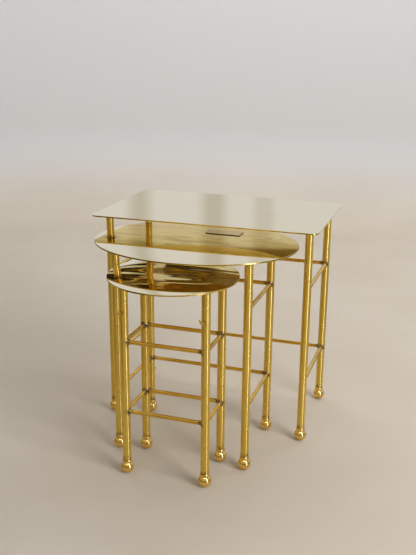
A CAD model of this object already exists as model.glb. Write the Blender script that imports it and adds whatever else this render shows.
import math

import bmesh
import bpy
from mathutils import Matrix, Vector


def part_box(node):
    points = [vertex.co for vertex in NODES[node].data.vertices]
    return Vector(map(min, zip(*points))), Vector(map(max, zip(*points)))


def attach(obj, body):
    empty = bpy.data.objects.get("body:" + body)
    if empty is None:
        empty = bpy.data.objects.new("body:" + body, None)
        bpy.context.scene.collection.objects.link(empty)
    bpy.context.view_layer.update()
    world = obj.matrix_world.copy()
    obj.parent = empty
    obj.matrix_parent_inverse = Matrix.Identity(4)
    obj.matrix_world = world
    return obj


# A nest of three brass tables. Every piece of the frame is shown as it is, in its own brass, and
# beads of brazing filler are added where legs, bars and tops meet. Lengths are in metres.

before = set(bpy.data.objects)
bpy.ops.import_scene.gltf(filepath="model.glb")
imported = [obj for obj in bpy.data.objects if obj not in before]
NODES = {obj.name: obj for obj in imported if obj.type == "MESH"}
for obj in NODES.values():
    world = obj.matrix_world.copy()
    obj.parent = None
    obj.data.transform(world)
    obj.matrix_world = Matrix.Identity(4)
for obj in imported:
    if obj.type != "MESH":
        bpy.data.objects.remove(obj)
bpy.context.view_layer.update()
TABLES = ("large", "middle", "small")
CORNERS = ("front_left", "front_right", "back_left", "back_right")

# ---------------------------------------------------------------- sizes of the beads
BEAD_REACH = 0.0028          # how far a brazed bead spreads along the leg and along the bar
BEAD_LUMP = 0.12             # how uneven a bead is, as a share of its reach
BEAD_SINK = 0.0003           # how far a bead's rim is buried in the metal beside it
TOP_BEAD_REACH = 0.0020      # the bead between a leg and the top above it
BEAD_SIDES, BEAD_STEPS = 40, 6

# ---------------------------------------------------------------- colours of the brass
# Linear. A pair of colours is the two ends of a mix.
TOP_POLISH = (0.97, 0.893, 0.67), (0.96, 0.877, 0.645)
TOP_HAZE = (0.93, 0.84, 0.60)
RIM_BRASS = (0.74, 0.57, 0.14), (0.90, 0.72, 0.27)
HEAT_STAIN = (0.40, 0.24, 0.09)
LIP_STAIN = (0.60, 0.44, 0.045)
UNDERSIDE_BRASS = {
    "large": ((0.84, 0.69, 0.28), (0.69, 0.50, 0.14)),
    "middle": ((0.86, 0.70, 0.30), (0.60, 0.44, 0.14)),
    "small": ((0.90, 0.74, 0.38), (0.74, 0.54, 0.20)),
}
TUBE_BRASS = (0.92, 0.72, 0.22), (0.86, 0.64, 0.16)
TUBE_SCORED = (0.60, 0.40, 0.08)
TUBE_BURNT_AT_BARS = (0.22, 0.14, 0.07)
TUBE_BURNT_AT_ENDS = (0.26, 0.15, 0.06)
ROD_BRASS = (0.86, 0.61, 0.17), (0.74, 0.50, 0.12)
ROD_BURNT = (0.24, 0.15, 0.07)
BALL_BRASS = (0.92, 0.70, 0.29), (0.84, 0.60, 0.20)
FILLER_CRUST = (0.11, 0.08, 0.05), (0.50, 0.35, 0.15)
FILLER_RUBBED = (0.66, 0.60, 0.50)
PLATE_BRASS = (0.84, 0.68, 0.36), (0.72, 0.55, 0.25)
PLATE_EDGE = (0.14, 0.09, 0.04)


# ---------------------------------------------------------------- tables, read from the frame
def middle_of(node):
    low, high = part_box(node)
    return (low + high) / 2


def table_facts(name):
    """Where a table's legs, bars and top are."""
    front = middle_of(name + "_leg_front_left")
    back = middle_of(name + "_leg_back_right")
    leg_low, leg_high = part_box(name + "_leg_front_left")
    bar_low, bar_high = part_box(name + "_bar_upper_left")
    bar_heights = [middle_of(name + "_bar_" + level + "_left").z for level in ("upper", "lower")]
    top_low, top_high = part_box(name + "_top")
    return {
        "name": name,
        "body": name + "_table",
        "half_span": Vector(((back.x - front.x) / 2, (back.y - front.y) / 2)),
        "centre": Vector(((back.x + front.x) / 2, (back.y + front.y) / 2)),
        "leg_radius": (leg_high.x - leg_low.x) / 2,
        "leg_bottom": leg_low.z,
        "leg_top": leg_high.z,
        "bar_radius": (bar_high.z - bar_low.z) / 2,
        "bar_heights": bar_heights,
        "half_top": Vector(((top_high.x - top_low.x) / 2, (top_high.y - top_low.y) / 2)),
    }


FACTS = {name: table_facts(name) for name in TABLES}


# ---------------------------------------------------------------- material helpers
class Graph:
    """A short way to write a material's node graph. Lengths are metres in the object's frame."""

    def __init__(self, name, metallic=1.0):
        self.material = bpy.data.materials.new(name)
        self.material.use_nodes = True
        self.tree = self.material.node_tree
        self.shader = self.tree.nodes["Principled BSDF"]
        self.shader.inputs["Metallic"].default_value = metallic
        self.coords = self.node("TexCoord")
        self.x, self.y, self.z = self.split(self.coords.outputs["Object"])

    def node(self, kind, **settings):
        made = self.tree.nodes.new("ShaderNode" + kind)
        for key, value in settings.items():
            setattr(made, key, value)
        return made

    def feed(self, socket, value):
        """A number, a colour or another node's output goes into a socket."""
        if isinstance(value, tuple):
            socket.default_value = (*value, 1.0)
        elif isinstance(value, (int, float)):
            socket.default_value = value
        else:
            self.tree.links.new(value, socket)

    def set(self, **sockets):
        """Feeds the shader's own sockets, named with _ for a space."""
        for name, value in sockets.items():
            self.feed(self.shader.inputs[name.replace("_", " ")], value)

    def split(self, vector):
        made = self.node("SeparateXYZ")
        self.feed(made.inputs["Vector"], vector)
        return made.outputs["X"], made.outputs["Y"], made.outputs["Z"]

    def math(self, operation, first, second=0.0):
        made = self.node("Math", operation=operation)
        self.feed(made.inputs[0], first)
        self.feed(made.inputs[1], second)
        return made.outputs[0]

    def ramp(self, value, low, high, out_low=0.0, out_high=1.0):
        """Smoothly from out_low to out_high as value climbs from low to high."""
        made = self.node("MapRange", interpolation_type="SMOOTHSTEP")
        for name, given in (("Value", value), ("From Min", low), ("From Max", high),
                            ("To Min", out_low), ("To Max", out_high)):
            self.feed(made.inputs[name], given)
        return made.outputs["Result"]

    def between(self, factor, low, high, pair):
        """Mixes a pair of colours as factor climbs from low to high."""
        return self.mix(self.ramp(factor, low, high), *pair)

    def noise(self, scale, stretch=(1, 1, 1), detail=3.0, roughness=0.5, warp=0.0, shift=(0, 0, 0)):
        """Noise of `scale` to the metre, finer along an axis whose stretch is above 1."""
        mapping = self.node("Mapping")
        self.feed(mapping.inputs["Vector"], self.coords.outputs["Object"])
        mapping.inputs["Scale"].default_value = stretch
        mapping.inputs["Location"].default_value = shift
        made = self.node("TexNoise")
        self.feed(made.inputs["Vector"], mapping.outputs["Vector"])
        self.feed(made.inputs["Scale"], scale)
        self.feed(made.inputs["Detail"], detail)
        self.feed(made.inputs["Roughness"], roughness)
        self.feed(made.inputs["Distortion"], warp)
        return made.outputs["Fac"]

    def mix(self, factor, first, second):
        made = self.node("Mix", data_type="RGBA")
        self.feed(made.inputs["Factor"], factor)
        self.feed(made.inputs["A"], first)
        self.feed(made.inputs["B"], second)
        return made.outputs["Result"]

    def near(self, value, target, reach, fade):
        """1 where value is within reach of target, falling to 0 over fade."""
        gap = self.math("ABSOLUTE", self.math("SUBTRACT", value, target))
        return self.ramp(gap, reach, reach + fade, 1.0, 0.0)

    def inward(self, facts):
        """How far inside the nearest leg's axis a point is, along X and along Y."""
        found = []
        for value, centre, half in ((self.x, facts["centre"].x, facts["half_span"].x),
                                    (self.y, facts["centre"].y, facts["half_span"].y)):
            folded = self.math("ABSOLUTE", self.math("SUBTRACT", value, centre))
            found.append(self.math("SUBTRACT", half, folded))
        return found

    def length(self, first, second):
        """The length of a vector with these two components."""
        squares = [self.math("POWER", value, 2.0) for value in (first, second)]
        return self.math("SQRT", self.math("ADD", *squares))

    def leg_distance(self, facts):
        return self.length(*self.inward(facts))

    def near_bars(self, facts, reach, fade):
        """1 on a leg's surface around the ends of its bars, 0 elsewhere."""
        inward_x, inward_y = self.inward(facts)
        closed = facts["name"] + "_bar_upper_front" in NODES
        behind = 1.0 if closed else self.math("GREATER_THAN", self.y, facts["centre"].y)
        total = 0.0
        for height in facts["bar_heights"]:
            above = self.math("SUBTRACT", self.z, height)
            side = self.ramp(self.length(inward_x, above), reach, reach + fade, 1.0, 0.0)
            side = self.math("MULTIPLY", side, self.math("GREATER_THAN", inward_y, 0.0))
            back = self.ramp(self.length(inward_y, above), reach, reach + fade, 1.0, 0.0)
            back = self.math("MULTIPLY", back, self.math("GREATER_THAN", inward_x, 0.0))
            back = self.math("MULTIPLY", back, behind)
            total = self.math("MAXIMUM", total, self.math("MAXIMUM", side, back))
        return total

    def bump(self, height, distance, before=None):
        """A normal bent by height, on top of the normal `before`."""
        made = self.node("Bump")
        made.inputs["Distance"].default_value = distance
        self.feed(made.inputs["Height"], height)
        if before is not None:
            self.feed(made.inputs["Normal"], before)
        return made.outputs["Normal"]


# ---------------------------------------------------------------- brass
def sheet_material(facts, wave, droop=0.0, droop_power=4.0, lip=0.0):
    """A polished top: pale and mirror-like above, yellower and wavier below, dull at the cut edge.

    `wave` is the depth of the ripple below, `droop` how far the polish rounds off towards the rim
    above, and `lip` how strongly the underside has browned along its front edge.
    """
    g = Graph(facts["name"] + "_sheet_brass")
    normal_z = g.split(g.coords.outputs["Normal"])[2]
    above = g.ramp(normal_z, 0.80, 0.97)
    below = g.ramp(normal_z, -0.97, -0.80, 1.0, 0.0)

    grain = g.noise(9.0, stretch=(14, 1, 1), detail=4.0)
    haze = g.noise(7.0, detail=5.0, warp=0.6)
    pale = g.between(grain, 0.35, 0.70, TOP_POLISH)
    pale = g.mix(g.ramp(haze, 0.55, 0.80), pale, TOP_HAZE)

    stain = g.noise(11.0, stretch=(1, 2.5, 1), detail=5.0, roughness=0.6, warp=1.2)
    aged = g.between(stain, 0.40, 0.72, UNDERSIDE_BRASS[facts["name"]])
    heat = g.ramp(g.leg_distance(facts), 0.010, 0.024, 1.0, 0.0)
    heat = g.math("MULTIPLY", heat, g.ramp(stain, 0.30, 0.60))
    aged = g.mix(heat, aged, HEAT_STAIN)
    front_edge = facts["centre"].y - facts["half_top"].y
    browned = g.ramp(g.y, front_edge + 0.006, front_edge + 0.060, lip, 0.0)
    aged = g.mix(browned, aged, LIP_STAIN)

    rim = g.between(g.noise(60.0, detail=4.0), 0.40, 0.65, RIM_BRASS)
    colour = g.mix(above, g.mix(below, rim, aged), pale)
    rough_above = g.ramp(haze, 0.35, 0.75, 0.02, 0.05)
    rough_below = g.ramp(stain, 0.35, 0.75, 0.04, 0.11)
    rough_rim = (0.20, 0.20, 0.20)
    roughness = g.mix(below, g.mix(above, rough_rim, rough_above), rough_below)
    g.set(Base_Color=colour, Roughness=roughness)

    shares = []
    for value, centre, half in ((g.x, facts["centre"].x, facts["half_top"].x),
                                (g.y, facts["centre"].y, facts["half_top"].y)):
        shares.append(g.math("DIVIDE", g.math("SUBTRACT", value, centre), half))
    dome = g.math("MULTIPLY", g.math("POWER", g.length(*shares), droop_power), -1.0)
    bent = g.bump(g.math("MULTIPLY", dome, above), droop)
    ripple = g.noise(4.0, stretch=(1, 2.2, 1), detail=1.5, warp=0.2, shift=(0, 2.3, 0.5))
    g.set(Normal=g.bump(g.math("MULTIPLY", ripple, below), wave, before=bent))
    return g.material


def tube_material(facts):
    """A polished leg tube, rubbed along its length, burnt at its ends and round its bars."""
    g = Graph(facts["name"] + "_tube_brass")
    cloud = g.noise(18.0, stretch=(1, 1, 0.35), detail=4.0, warp=0.5)
    colour = g.between(cloud, 0.35, 0.70, TUBE_BRASS)
    scores = g.noise(420.0, stretch=(1, 1, 0.02), detail=3.0)
    colour = g.mix(g.ramp(scores, 0.56, 0.75, 0.0, 0.25), colour, TUBE_SCORED)
    broken = g.ramp(g.noise(130.0, detail=4.0), 0.35, 0.62)
    burnt = g.math("MULTIPLY", g.near_bars(facts, 0.0055, 0.0050), broken)
    colour = g.mix(g.math("MULTIPLY", burnt, 0.85), colour, TUBE_BURNT_AT_BARS)
    for height in (facts["leg_top"], facts["leg_bottom"]):
        burnt = g.math("MULTIPLY", g.near(g.z, height, 0.0025, 0.010), broken)
        colour = g.mix(g.math("MULTIPLY", burnt, 0.8), colour, TUBE_BURNT_AT_ENDS)
    g.set(Base_Color=colour, Roughness=g.ramp(cloud, 0.35, 0.70, 0.25, 0.30))
    g.set(Anisotropic=1.0, Anisotropic_Rotation=0.25)
    return g.material


def rod_material(facts):
    """A drawn bar, duller than the legs and darkened towards its brazed ends."""
    g = Graph(facts["name"] + "_rod_brass")
    cloud = g.noise(30.0, detail=5.0)
    colour = g.between(cloud, 0.35, 0.68, ROD_BRASS)
    from_leg = g.math("SUBTRACT", g.leg_distance(facts), facts["leg_radius"])
    ends = g.ramp(from_leg, 0.001, 0.010, 1.0, 0.0)
    ends = g.math("MULTIPLY", ends, g.ramp(g.noise(160.0, detail=4.0), 0.30, 0.60))
    g.set(Base_Color=g.mix(ends, colour, ROD_BURNT))
    g.set(Roughness=g.ramp(cloud, 0.3, 0.7, 0.12, 0.20))
    return g.material


def ball_material():
    """A turned and polished foot, with faint rings left by the tool."""
    g = Graph("turned_ball_brass")
    cloud = g.noise(45.0, detail=4.0)
    colour = g.between(cloud, 0.35, 0.70, BALL_BRASS)
    rings = g.noise(900.0, stretch=(0.03, 0.03, 1), detail=2.0)
    g.set(Base_Color=colour, Roughness=g.ramp(rings, 0.35, 0.70, 0.02, 0.05))
    return g.material


def bead_material():
    """Brazing filler: dull, oxidised, with brighter rubbed spots."""
    g = Graph("brazing_brass")
    crust = g.noise(380.0, detail=5.0, roughness=0.6)
    colour = g.between(crust, 0.42, 0.60, FILLER_CRUST)
    colour = g.mix(g.ramp(crust, 0.60, 0.70), colour, FILLER_RUBBED)
    g.set(Base_Color=colour, Roughness=g.ramp(crust, 0.35, 0.70, 0.55, 0.32))
    g.set(Normal=g.bump(crust, 0.0006))
    return g.material


def plate_material():
    """The blank plate under the large top: satin, browned towards its edges."""
    g = Graph("plate_brass")
    low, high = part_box("large_label_plate")
    inset = []
    for value, least, most in ((g.x, low.x, high.x), (g.y, low.y, high.y)):
        gaps = g.math("SUBTRACT", value, least), g.math("SUBTRACT", most, value)
        inset.append(g.math("MINIMUM", *gaps))
    edge = g.ramp(g.math("MINIMUM", *inset), 0.0008, 0.0030, 1.0, 0.0)
    grain = g.noise(40.0, stretch=(1, 12, 1), detail=4.0)
    face = g.between(grain, 0.35, 0.70, PLATE_BRASS)
    g.set(Base_Color=g.mix(edge, face, PLATE_EDGE), Roughness=0.16)
    return g.material


SHEET = {
    "large": sheet_material(FACTS["large"], wave=0.0010, lip=1.0),
    "middle": sheet_material(FACTS["middle"], wave=0.0112, droop=0.0012),
    "small": sheet_material(FACTS["small"], wave=0.0015, droop=0.0035, droop_power=5.0),
}
TUBE = {name: tube_material(FACTS[name]) for name in TABLES}
ROD = {name: rod_material(FACTS[name]) for name in TABLES}
BALL, BEAD, PLATE = ball_material(), bead_material(), plate_material()


def material_for(node):
    """A piece's material, by its name. Bars, pegs, studs and plugs are all drawn rod."""
    table = node.split("_")[0]
    if node.endswith("_plate"):
        return PLATE
    if node.endswith("_top"):
        return SHEET[table]
    if "_leg_" in node:
        return TUBE[table]
    if "_foot_" in node:
        return BALL
    return ROD[table]


for node, obj in NODES.items():
    obj.data.materials.clear()
    obj.data.materials.append(material_for(node))


# ---------------------------------------------------------------- brazed beads
def unevenness(angle, seed):
    """A smooth wobble round a bead, different for each seed, between -1 and 1."""
    return 0.5 * math.sin(2 * angle + seed * 1.7) + 0.3 * math.sin(5 * angle + seed * 2.9) \
        + 0.2 * math.sin(9 * angle + seed * 4.3)


def bead_section(reach, turn, step):
    """A point on a bead's hollow section: how far it is out from the rod and from the face."""
    from_rod = reach * (1 - math.sin(turn)) - BEAD_SINK * (step == BEAD_STEPS)
    from_face = reach * (1 - math.cos(turn)) - BEAD_SINK * (step == 0)
    return from_rod, from_face


def ring_of_faces(bm, rows):
    """Joins closed rows of points into a smooth band."""
    made = [[bm.verts.new(point) for point in row] for row in rows]
    for lower, upper in zip(made, made[1:]):
        for i in range(len(lower)):
            j = (i + 1) % len(lower)
            bm.faces.new((lower[i], lower[j], upper[j], upper[i])).smooth = True


def bar_bead(bm, corner, height, along, facts, seed):
    """The concave bead where a bar, running along `along`, meets the leg at `corner`."""
    across = Vector((-along.y, along.x, 0.0))
    base = Vector((corner.x, corner.y, height))
    rows = []
    for step in range(BEAD_STEPS + 1):
        turn = step / BEAD_STEPS * math.pi / 2
        row = []
        for side in range(BEAD_SIDES):
            angle = side / BEAD_SIDES * 2 * math.pi
            reach = BEAD_REACH * (1 + BEAD_LUMP * unevenness(angle, seed))
            from_bar, from_leg = bead_section(reach, turn, step)
            from_bar += facts["bar_radius"]
            sideways, up = from_bar * math.cos(angle), from_bar * math.sin(angle)
            leg_face = math.sqrt(max(0.0, facts["leg_radius"] ** 2 - sideways ** 2))
            outwards = along * (leg_face + from_leg)
            row.append(base + outwards + across * sideways + Vector((0, 0, up)))
        rows.append(row)
    ring_of_faces(bm, rows)


def top_bead(bm, corner, facts, seed):
    """The thin bead between the end of a leg and the top above it."""
    rows = []
    for step in range(BEAD_STEPS + 1):
        turn = step / BEAD_STEPS * math.pi / 2
        row = []
        for side in range(BEAD_SIDES):
            angle = side / BEAD_SIDES * 2 * math.pi
            reach = TOP_BEAD_REACH * (1 + BEAD_LUMP * unevenness(angle, seed))
            radius, drop = bead_section(reach, turn, step)
            radius += facts["leg_radius"]
            row.append(Vector((corner.x + radius * math.cos(angle),
                               corner.y + radius * math.sin(angle),
                               facts["leg_top"] - drop)))
        rows.append(row)
    ring_of_faces(bm, rows)


def corner_point(facts, corner):
    """Where the axis of the leg at a corner stands, seen from above."""
    side_x = -1 if corner.endswith("left") else 1
    side_y = -1 if corner.startswith("front") else 1
    return facts["centre"] + Vector((side_x * facts["half_span"].x, side_y * facts["half_span"].y))


def bar_directions(facts, corner):
    """The directions in which bars leave a leg: along its side, and across where there is a bar."""
    inward_y = Vector((0, 1 if corner.startswith("front") else -1, 0))
    inward_x = Vector((1 if corner.endswith("left") else -1, 0, 0))
    crossed = corner.startswith("back") or facts["name"] + "_bar_upper_front" in NODES
    return [inward_y, inward_x] if crossed else [inward_y]


def brazed_joints(facts):
    """All the beads of one table, as one piece."""
    bm = bmesh.new()
    seed = 0
    for corner in CORNERS:
        point = corner_point(facts, corner)
        top_bead(bm, point, facts, seed)
        for height in facts["bar_heights"]:
            for along in bar_directions(facts, corner):
                seed += 1
                bar_bead(bm, point, height, along, facts, seed)
    bmesh.ops.recalc_face_normals(bm, faces=bm.faces)
    mesh = bpy.data.meshes.new(facts["name"] + "_brazed_joints")
    bm.to_mesh(mesh)
    bm.free()
    mesh.materials.append(BEAD)
    piece = bpy.data.objects.new(mesh.name, mesh)
    bpy.context.scene.collection.objects.link(piece)
    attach(piece, facts["body"])


for name in TABLES:
    brazed_joints(FACTS[name])


# ---------------------------------------------------------------- stage
SPIN_STEPS = 128             # the faces round a surface of revolution


def revolved(name, profile, centre=(0, 0)):
    """A surface of revolution about a vertical axis, from a list of (radius, height)."""
    bm = bmesh.new()
    points = [bm.verts.new((centre[0] + r, centre[1], z)) for r, z in profile]
    edges = [bm.edges.new(pair) for pair in zip(points, points[1:])]
    bmesh.ops.spin(bm, geom=points + edges, cent=(*centre, 0), axis=(0, 0, 1), angle=2 * math.pi,
                   steps=SPIN_STEPS, use_merge=True)
    bmesh.ops.remove_doubles(bm, verts=bm.verts, dist=1e-5)
    for face in bm.faces:
        face.smooth = True
    mesh = bpy.data.meshes.new(name)
    bm.to_mesh(mesh)
    bm.free()
    obj = bpy.data.objects.new(name, mesh)
    bpy.context.scene.collection.objects.link(obj)
    return obj


def only_in_reflections(obj):
    """Hides an object from everything but shiny surfaces."""
    obj.visible_camera = obj.visible_diffuse = obj.visible_shadow = False
    obj.visible_transmission = obj.visible_volume_scatter = False


STAGE_CENTRE = (0.0, -0.35)
FLOOR_RADIUS = 2.2
COVE = 0.4                   # the radius of the curve between the floor and the wall
COVE_STEPS = 12
WALL_TOP = 3.2

FLOOR_PAINT = (0.63, 0.565, 0.475), (0.59, 0.52, 0.43)
FLOOR_SPECK = (0.25, 0.21, 0.17)
WALL_PAINT = (0.66, 0.66, 0.665)


def backdrop():
    """A pale floor that curves up into a pale wall all round. The brass doesn't reflect it."""
    profile = [(radius, 0.0) for radius in (0.0, 1.0, 2.0, FLOOR_RADIUS)]
    for step in range(1, COVE_STEPS + 1):
        turn = step / COVE_STEPS * math.pi / 2
        profile.append((FLOOR_RADIUS + COVE * math.sin(turn), COVE * (1 - math.cos(turn))))
    profile.append((FLOOR_RADIUS + COVE, WALL_TOP))
    obj = revolved("backdrop", profile, STAGE_CENTRE)
    obj.visible_glossy = False
    g = Graph("backdrop_paint", metallic=0.0)
    wall_part = g.ramp(g.z, 0.0, 0.35)
    speck = g.ramp(g.noise(240.0, detail=3.0), 0.62, 0.74, 0.0, 0.12)
    floor = g.between(g.noise(2.2, detail=4.0), 0.3, 0.7, FLOOR_PAINT)
    floor = g.mix(speck, floor, FLOOR_SPECK)
    g.set(Base_Color=g.mix(wall_part, floor, WALL_PAINT), Roughness=0.8, Specular_IOR_Level=0.0)
    obj.data.materials.append(g.material)


MIRRORED_FLOOR_RADIUS = 3.0
MIRRORED_FLOOR_HEIGHT = 0.0002
MIRRORED_FLOOR = (0.56, 0.445, 0.23), (0.13, 0.078, 0.015)      # under the nest, and behind it
MIRRORED_SHADE = (0.07, 0.045, 0.018)
SHADE_BEARING = -42.0        # degrees to the right of the front, about the origin


def bearing(g, y_origin=0.0):
    """How many degrees a point is to the right of the front, seen from (0, y_origin)."""
    forwards = g.math("SUBTRACT", y_origin, g.y)
    return g.math("MULTIPLY", g.math("ARCTAN2", g.x, forwards), 180 / math.pi)


def reflected_floor():
    """The darker, slightly polished floor that the brass reflects."""
    radii = (0.0, 1.0, MIRRORED_FLOOR_RADIUS)
    obj = revolved("reflected_floor", [(radius, MIRRORED_FLOOR_HEIGHT) for radius in radii])
    only_in_reflections(obj)
    g = Graph("reflected_floor_paint", metallic=0.0)
    colour = g.between(g.y, 0.25, 0.65, MIRRORED_FLOOR)
    far_out = g.ramp(g.length(g.x, g.y), 0.60, 0.90)
    shade = g.math("MULTIPLY", g.near(bearing(g), SHADE_BEARING, 12.0, 24.0), far_out)
    colour = g.mix(shade, colour, MIRRORED_SHADE)
    g.set(Base_Color=colour, Roughness=0.22)
    obj.data.materials.append(g.material)


SURROUND_CENTRE = (0.0, -0.2)
SURROUND_RADIUS = 1.45
SURROUND_TOP = 2.7

CLOTH = (0.66, 0.65, 0.655)
CLOTH_FOLD = (0.51, 0.48, 0.44)
CLOTH_SHADED = (0.42, 0.39, 0.27)
FOLDS = (                    # x, half width, fade, depth
    (-0.612, 0.0, 0.065, 1.0),
    (-0.360, 0.004, 0.065, 1.1),
    (-0.183, 0.012, 0.045, 0.6),
)
GAP_LEFT = (0.018, 0.013, 0.006), (0.035, 0.024, 0.007)         # the dark gap below the hem
GAP_RIGHT = (0.18, 0.12, 0.04)
TRAILING_FOLD = -0.552       # the x of the one fold that reaches the floor
ROOM = (0.48, 0.375, 0.17), (0.48, 0.39, 0.20)
ROOM_SKIRTING = (0.05, 0.035, 0.015)
WINDOW_LIGHT = (3.9, 4.3, 6.4)
WINDOW_BEARING = 66.0        # degrees to the right of the front, about SURROUND_CENTRE
OVERHEAD_LIGHT = (3.0, 2.95, 2.85)
OVERHEAD_BEARING = 25.0
CEILING = (0.66, 0.645, 0.655)
BLACK = (0.0, 0.0, 0.0)      # the surround only gives out light, and scatters none


def hanging_cloth(g):
    """The colour of the folded cloth, with a dark gap between its hem and the floor."""
    folds = 0.0
    for place, half_width, fade, depth in FOLDS:
        fold = g.math("MULTIPLY", g.near(g.x, place, half_width, fade), depth)
        folds = g.math("MAXIMUM", folds, fold)
    cloth = g.mix(folds, CLOTH, CLOTH_FOLD)
    rightwards = g.ramp(g.x, -0.25, -0.15)
    depth_of_shade = g.ramp(g.math("MAXIMUM", folds, rightwards), 0.0, 1.0, 0.15, 0.95)
    shaded = g.math("MULTIPLY", g.ramp(g.z, 0.125, 0.180, 1.0, 0.0), depth_of_shade)
    cloth = g.mix(shaded, cloth, CLOTH_SHADED)
    gap = g.between(g.x, -0.60, -0.50, GAP_LEFT)
    gap = g.mix(g.ramp(g.x, -0.40, -0.30), gap, GAP_RIGHT)
    trailing = g.near(g.x, TRAILING_FOLD, 0.018, 0.010)
    above_hem = g.math("MAXIMUM", trailing, g.ramp(g.z, 0.110, 0.120))
    return g.mix(above_hem, gap, cloth)


def reflected_surround():
    """The studio in the reflections.

    It is a dim room with pale cloth behind the nest, a window at the right, a light overhead and a
    pale ceiling.
    """
    profile = [(SURROUND_RADIUS, 0.0), (SURROUND_RADIUS, SURROUND_TOP), (0.0, SURROUND_TOP)]
    obj = revolved("reflected_surround", profile, SURROUND_CENTRE)
    for face in obj.data.polygons:
        face.use_smooth = False
    only_in_reflections(obj)
    g = Graph("reflected_surround_paint", metallic=0.0)
    degrees = bearing(g, SURROUND_CENTRE[1])
    room = g.between(degrees, -30.0, 15.0, ROOM)
    room = g.mix(g.near(g.z, 0.08, 0.10, 0.12), room, ROOM_SKIRTING)
    behind = g.ramp(g.math("ABSOLUTE", degrees), 100.0, 125.0)
    colour = g.mix(behind, room, hanging_cloth(g))
    window = g.near(degrees, WINDOW_BEARING, 4.0, 4.0)
    colour = g.mix(window, colour, WINDOW_LIGHT)
    overhead = g.near(degrees, OVERHEAD_BEARING, 35.0, 15.0)
    overhead = g.math("MULTIPLY", g.ramp(g.z, 1.75, 1.95), overhead)
    colour = g.mix(overhead, colour, OVERHEAD_LIGHT)
    ceiling = g.ramp(g.z, SURROUND_TOP - 0.10, SURROUND_TOP - 0.01)
    colour = g.mix(ceiling, colour, CEILING)
    g.set(Base_Color=BLACK, Specular_IOR_Level=0.0)
    g.set(Emission_Color=colour, Emission_Strength=1.0)
    obj.data.materials.append(g.material)


backdrop()
reflected_floor()
reflected_surround()


# ---------------------------------------------------------------- lights
def area_light(name, position, target, width, height, watts):
    """A white lamp that lights the scene but doesn't show in the brass."""
    data = bpy.data.lights.new(name, "AREA")
    data.shape = "RECTANGLE"
    data.size, data.size_y = width, height
    data.energy = watts
    obj = bpy.data.objects.new(name, data)
    obj.location = position
    obj.rotation_mode = "QUATERNION"
    obj.rotation_quaternion = (Vector(target) - Vector(position)).to_track_quat("-Z", "Y")
    bpy.context.scene.collection.objects.link(obj)
    obj.visible_glossy = False


area_light("key", position=(2.05, -1.05, 1.35), target=(0, 0, 0.35),
           width=1.2, height=1.7, watts=48)
area_light("back_wash", position=(0.0, 0.9, 2.9), target=(0, 3.2, 1.0),
           width=3.0, height=0.8, watts=40)

SKYLIGHT = (0.96, 0.98, 1.0)
SKYLIGHT_STRENGTH = 0.42
world = bpy.data.worlds.new("world")
world.use_nodes = True
background = world.node_tree.nodes["Background"]
background.inputs["Color"].default_value = (*SKYLIGHT, 1.0)
background.inputs["Strength"].default_value = SKYLIGHT_STRENGTH
bpy.context.scene.world = world

# ---------------------------------------------------------------- camera
CAMERA_POSITION = (0.47738, -1.41698, 0.80421)
FOCAL_LENGTH = 50.39
SENSOR_WIDTH = 36.0
YAW, PITCH, ROLL = math.radians(18.1206), math.radians(17.2301), math.radians(-0.5026)
level = Vector((math.cos(YAW), math.sin(YAW), 0.0))
ahead = Vector((-math.sin(YAW), math.cos(YAW), 0.0))
forward = math.cos(PITCH) * ahead - math.sin(PITCH) * Vector((0.0, 0.0, 1.0))
down = forward.cross(level)
right = math.cos(ROLL) * level + math.sin(ROLL) * down
lower = -math.sin(ROLL) * level + math.cos(ROLL) * down
camera = bpy.data.objects.new("camera", bpy.data.cameras.new("camera"))
camera.data.lens = FOCAL_LENGTH
camera.data.sensor_width = SENSOR_WIDTH
turned = Matrix((right, -lower, -forward)).transposed().to_4x4()
camera.matrix_world = Matrix.Translation(CAMERA_POSITION) @ turned
bpy.context.scene.collection.objects.link(camera)
bpy.context.scene.camera = camera

bpy.context.scene.view_settings.view_transform = "Standard"
bpy.context.scene.cycles.glossy_bounces = 12
bpy.context.scene.cycles.max_bounces = 16
